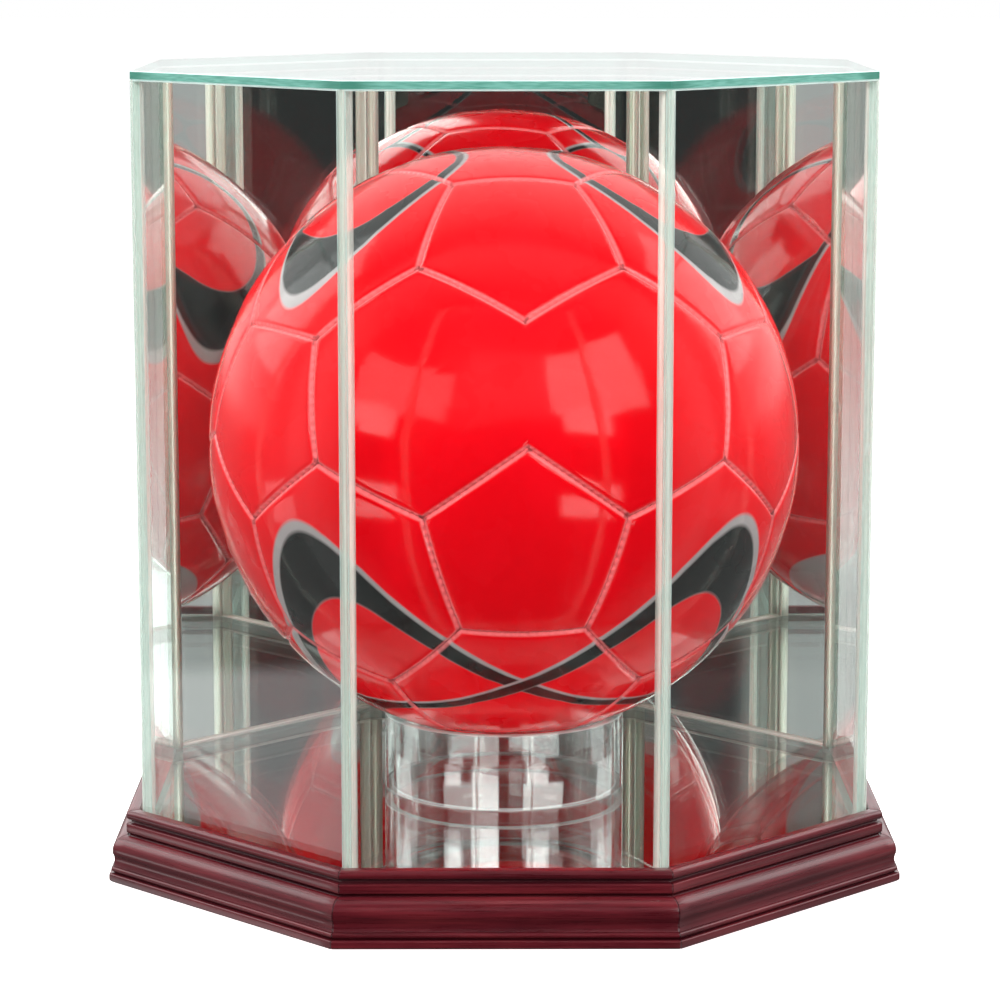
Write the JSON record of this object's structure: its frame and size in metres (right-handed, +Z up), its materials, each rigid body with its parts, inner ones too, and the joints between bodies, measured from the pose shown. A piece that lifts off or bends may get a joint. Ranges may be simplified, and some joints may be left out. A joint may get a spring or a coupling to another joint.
{
  "type": "football display case",
  "caption": "Octagonal glass and mirror display case with a lift-off cover, stepped cherry wood base and a clear ring that holds a football.",
  "frame": {"origin": "centre of the case's footprint, on the surface it stands on (underside of the felt feet)", "axes": "+Z up, -Y towards the front clear pane, +X to the viewer's right"},
  "size_m": [0.2872, 0.2872, 0.2928],
  "materials": {
    "cherry_wood": "dark cherry stain under gloss lacquer",
    "plywood": "raw plywood",
    "mirror_glass": "silvered glass",
    "nail_steel": "plain steel",
    "zinc_steel": "yellow zinc plate",
    "felt": "black felt",
    "clear_acrylic": "polished clear acrylic",
    "clear_glass": "clear float glass with ground edges",
    "clear_adhesive": "clear silicone",
    "ball_leather": "glossy stitched synthetic leather, red with charcoal bands",
    "bladder_rubber": "butyl rubber",
    "valve_rubber": "black rubber"
  },
  "bodies": {
    "base": {"moulding_right": "cherry_wood", "moulding_back_right": "cherry_wood", "moulding_back": "cherry_wood", "moulding_back_left": "cherry_wood", "moulding_left": "cherry_wood", "moulding_front_left": "cherry_wood", "moulding_front": "cherry_wood", "moulding_front_right": "cherry_wood", "deck_board": "plywood", "floor_mirror": "mirror_glass", "corner_v_nails": "nail_steel", "deck_screws": "zinc_steel", "felt_pads": "felt", "riser_ring": "clear_acrylic"},
    "cover": {"glass_right": "clear_glass", "glass_left": "clear_glass", "glass_front_left": "clear_glass", "glass_front": "clear_glass", "glass_front_right": "clear_glass", "mirror_back_right": "mirror_glass", "mirror_back": "mirror_glass", "mirror_back_left": "mirror_glass", "glass_top": "clear_glass", "corner_bead_right_rear": "clear_adhesive", "corner_bead_rear_right": "clear_adhesive", "corner_bead_rear_left": "clear_adhesive", "corner_bead_left_rear": "clear_adhesive", "corner_bead_left_front": "clear_adhesive", "corner_bead_front_left": "clear_adhesive", "corner_bead_front_right": "clear_adhesive", "corner_bead_right_front": "clear_adhesive"},
    "ball": {"ball_cover": "ball_leather", "ball_bladder": "bladder_rubber", "ball_valve": "valve_rubber"}
  },
  "joints": [
    {"name": "cover_lift", "type": "slide", "parent": "base", "child": "cover", "axis": [0, 0, 1], "range_m": [0, 0.3]},
    {"name": "ball_turn", "type": "hinge", "parent": "base", "child": "ball", "pos_m": [0, 0, 0.15308], "axis": [0, 0, 1], "continuous": true}
  ]
}
